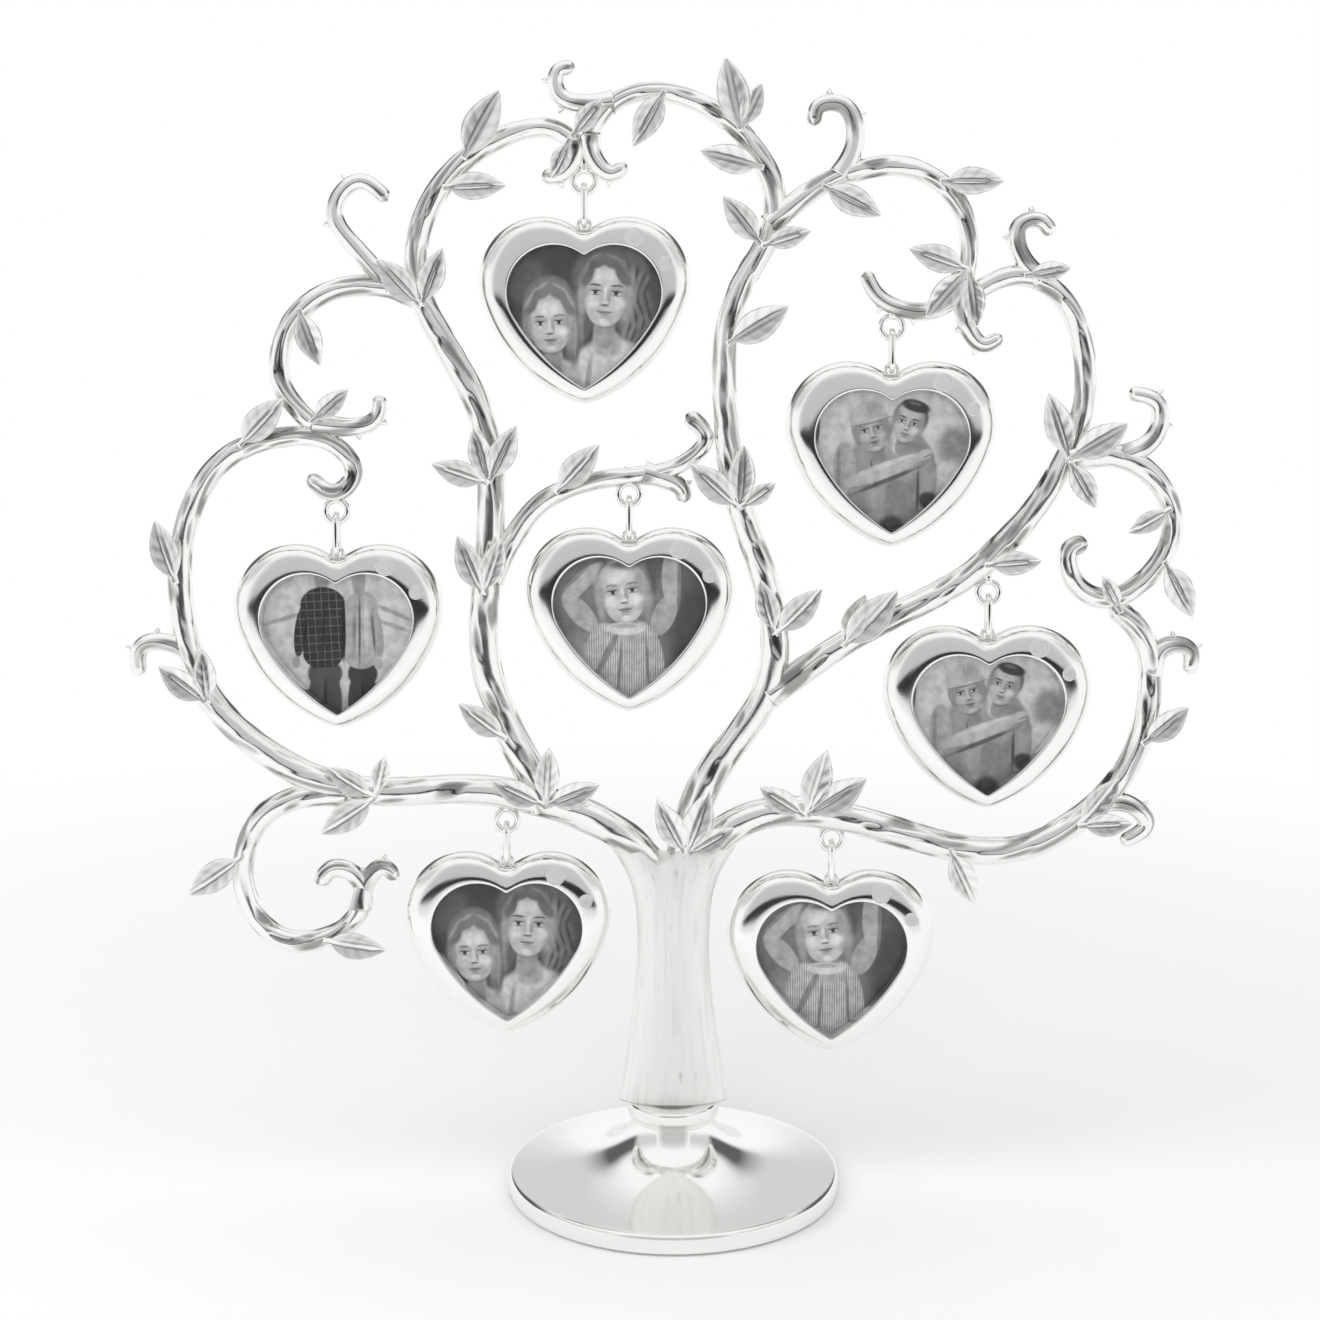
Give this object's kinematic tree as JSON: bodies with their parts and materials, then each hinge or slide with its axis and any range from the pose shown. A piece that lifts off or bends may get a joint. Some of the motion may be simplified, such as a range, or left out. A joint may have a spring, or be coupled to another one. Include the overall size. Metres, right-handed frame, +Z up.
{
  "type": "photo tree stand",
  "caption": "Silver tree on a round foot, with curling leafy boughs from which small heart-shaped photo frames hang on links.",
  "frame": {"origin": "centre of the felt's underside, on the floor", "axes": "+Z up; +X to the right of someone facing the front; the front faces -Y"},
  "size_m": [0.2579, 0.08, 0.2707],
  "materials": {
    "silver_polished": "polished silver plate",
    "silver_bark": "silver plate over a bark-grained casting",
    "felt": "black felt",
    "steel": "plain steel",
    "window": "clear pane",
    "print": "grey photo print",
    "stone": "cut clear stone",
    "back": "fine grain"
  },
  "bodies": {
    "tree": {"base_foot": "silver_polished", "base_felt": "felt", "base_screw": "steel", "neck_collar": "silver_polished", "trunk": "silver_bark", "bough_left_low": "silver_bark", "left_scroll": "silver_bark", "bough_left_tall": "silver_bark", "left_arch": "silver_bark", "centre_arm": "silver_bark", "bough_centre": "silver_bark", "right_arch": "silver_bark", "bough_right": "silver_bark", "right_scroll": "silver_bark", "bough_right_low": "silver_bark", "tendrils": "silver_bark", "leaves": "silver_bark", "eyelets": "silver_polished"},
    "link_top": {"hanger_link_top": "silver_polished"},
    "heart_top": {"heart_bezel_top": "silver_polished", "heart_window_top": "window", "heart_print_top": "print", "heart_stones_top": "stone"},
    "back_top": {"heart_back_top": "back"},
    "link_upper_right": {"hanger_link_upper_right": "silver_polished"},
    "heart_upper_right": {"heart_bezel_upper_right": "silver_polished", "heart_window_upper_right": "window", "heart_print_upper_right": "print", "heart_stones_upper_right": "stone"},
    "back_upper_right": {"heart_back_upper_right": "back"},
    "link_left": {"hanger_link_left": "silver_polished"},
    "heart_left": {"heart_bezel_left": "silver_polished", "heart_window_left": "window", "heart_print_left": "print", "heart_stones_left": "stone"},
    "back_left": {"heart_back_left": "back"},
    "link_centre": {"hanger_link_centre": "silver_polished"},
    "heart_centre": {"heart_bezel_centre": "silver_polished", "heart_window_centre": "window", "heart_print_centre": "print", "heart_stones_centre": "stone"},
    "back_centre": {"heart_back_centre": "back"},
    "link_right": {"hanger_link_right": "silver_polished"},
    "heart_right": {"heart_bezel_right": "silver_polished", "heart_window_right": "window", "heart_print_right": "print", "heart_stones_right": "stone"},
    "back_right": {"heart_back_right": "back"},
    "link_lower_left": {"hanger_link_lower_left": "silver_polished"},
    "heart_lower_left": {"heart_bezel_lower_left": "silver_polished", "heart_window_lower_left": "window", "heart_print_lower_left": "print", "heart_stones_lower_left": "stone"},
    "back_lower_left": {"heart_back_lower_left": "back"},
    "link_lower_right": {"hanger_link_lower_right": "silver_polished"},
    "heart_lower_right": {"heart_bezel_lower_right": "silver_polished", "heart_window_lower_right": "window", "heart_print_lower_right": "print", "heart_stones_lower_right": "stone"},
    "back_lower_right": {"heart_back_lower_right": "back"}
  },
  "joints": [
    {"name": "link_swing_top", "type": "hinge", "parent": "tree", "child": "link_top", "pos_m": [-0.021, 0, 0.2395], "axis": [1, 0, 0], "range_deg": [-45, 45]},
    {"name": "heart_swing_top", "type": "hinge", "parent": "link_top", "child": "heart_top", "pos_m": [-0.021, 0, 0.2319], "axis": [0, 1, 0], "range_deg": [-20, 18]},
    {"name": "back_pull_top", "type": "slide", "parent": "heart_top", "child": "back_top", "axis": [0, 1, 0], "range_m": [0, 0.012]},
    {"name": "link_swing_upper_right", "type": "hinge", "parent": "tree", "child": "link_upper_right", "pos_m": [0.0515, 0, 0.2055], "axis": [1, 0, 0], "range_deg": [-45, 45]},
    {"name": "heart_swing_upper_right", "type": "hinge", "parent": "link_upper_right", "child": "heart_upper_right", "pos_m": [0.0515, 0, 0.1979], "axis": [0, 1, 0], "range_deg": [-12, 18]},
    {"name": "back_pull_upper_right", "type": "slide", "parent": "heart_upper_right", "child": "back_upper_right", "axis": [0, 1, 0], "range_m": [0, 0.012]},
    {"name": "link_swing_left", "type": "hinge", "parent": "tree", "child": "link_left", "pos_m": [-0.08, 0, 0.162], "axis": [1, 0, 0], "range_deg": [-45, 45]},
    {"name": "heart_swing_left", "type": "hinge", "parent": "link_left", "child": "heart_left", "pos_m": [-0.08, 0, 0.1544], "axis": [0, 1, 0], "range_deg": [-15, 20]},
    {"name": "back_pull_left", "type": "slide", "parent": "heart_left", "child": "back_left", "axis": [0, 1, 0], "range_m": [0, 0.012]},
    {"name": "link_swing_centre", "type": "hinge", "parent": "tree", "child": "link_centre", "pos_m": [-0.0105, 0, 0.166], "axis": [1, 0, 0], "range_deg": [-45, 45]},
    {"name": "heart_swing_centre", "type": "hinge", "parent": "link_centre", "child": "heart_centre", "pos_m": [-0.0105, 0, 0.1584], "axis": [0, 1, 0], "range_deg": [-7, 7]},
    {"name": "back_pull_centre", "type": "slide", "parent": "heart_centre", "child": "back_centre", "axis": [0, 1, 0], "range_m": [0, 0.012]},
    {"name": "link_swing_right", "type": "hinge", "parent": "tree", "child": "link_right", "pos_m": [0.075, 0, 0.1425], "axis": [1, 0, 0], "range_deg": [-45, 45]},
    {"name": "heart_swing_right", "type": "hinge", "parent": "link_right", "child": "heart_right", "pos_m": [0.075, 0, 0.1349], "axis": [0, 1, 0], "range_deg": [-20, 5]},
    {"name": "back_pull_right", "type": "slide", "parent": "heart_right", "child": "back_right", "axis": [0, 1, 0], "range_m": [0, 0.012]},
    {"name": "link_swing_lower_left", "type": "hinge", "parent": "tree", "child": "link_lower_left", "pos_m": [-0.04, 0, 0.0875], "axis": [1, 0, 0], "range_deg": [-45, 45]},
    {"name": "heart_swing_lower_left", "type": "hinge", "parent": "link_lower_left", "child": "heart_lower_left", "pos_m": [-0.04, 0, 0.0799], "axis": [0, 1, 0], "range_deg": [-18, 2]},
    {"name": "back_pull_lower_left", "type": "slide", "parent": "heart_lower_left", "child": "back_lower_left", "axis": [0, 1, 0], "range_m": [0, 0.012]},
    {"name": "link_swing_lower_right", "type": "hinge", "parent": "tree", "child": "link_lower_right", "pos_m": [0.038, 0, 0.083], "axis": [1, 0, 0], "range_deg": [-45, 45]},
    {"name": "heart_swing_lower_right", "type": "hinge", "parent": "link_lower_right", "child": "heart_lower_right", "pos_m": [0.038, 0, 0.0754], "axis": [0, 1, 0], "range_deg": [-18, 11]},
    {"name": "back_pull_lower_right", "type": "slide", "parent": "heart_lower_right", "child": "back_lower_right", "axis": [0, 1, 0], "range_m": [0, 0.012]}
  ]
}
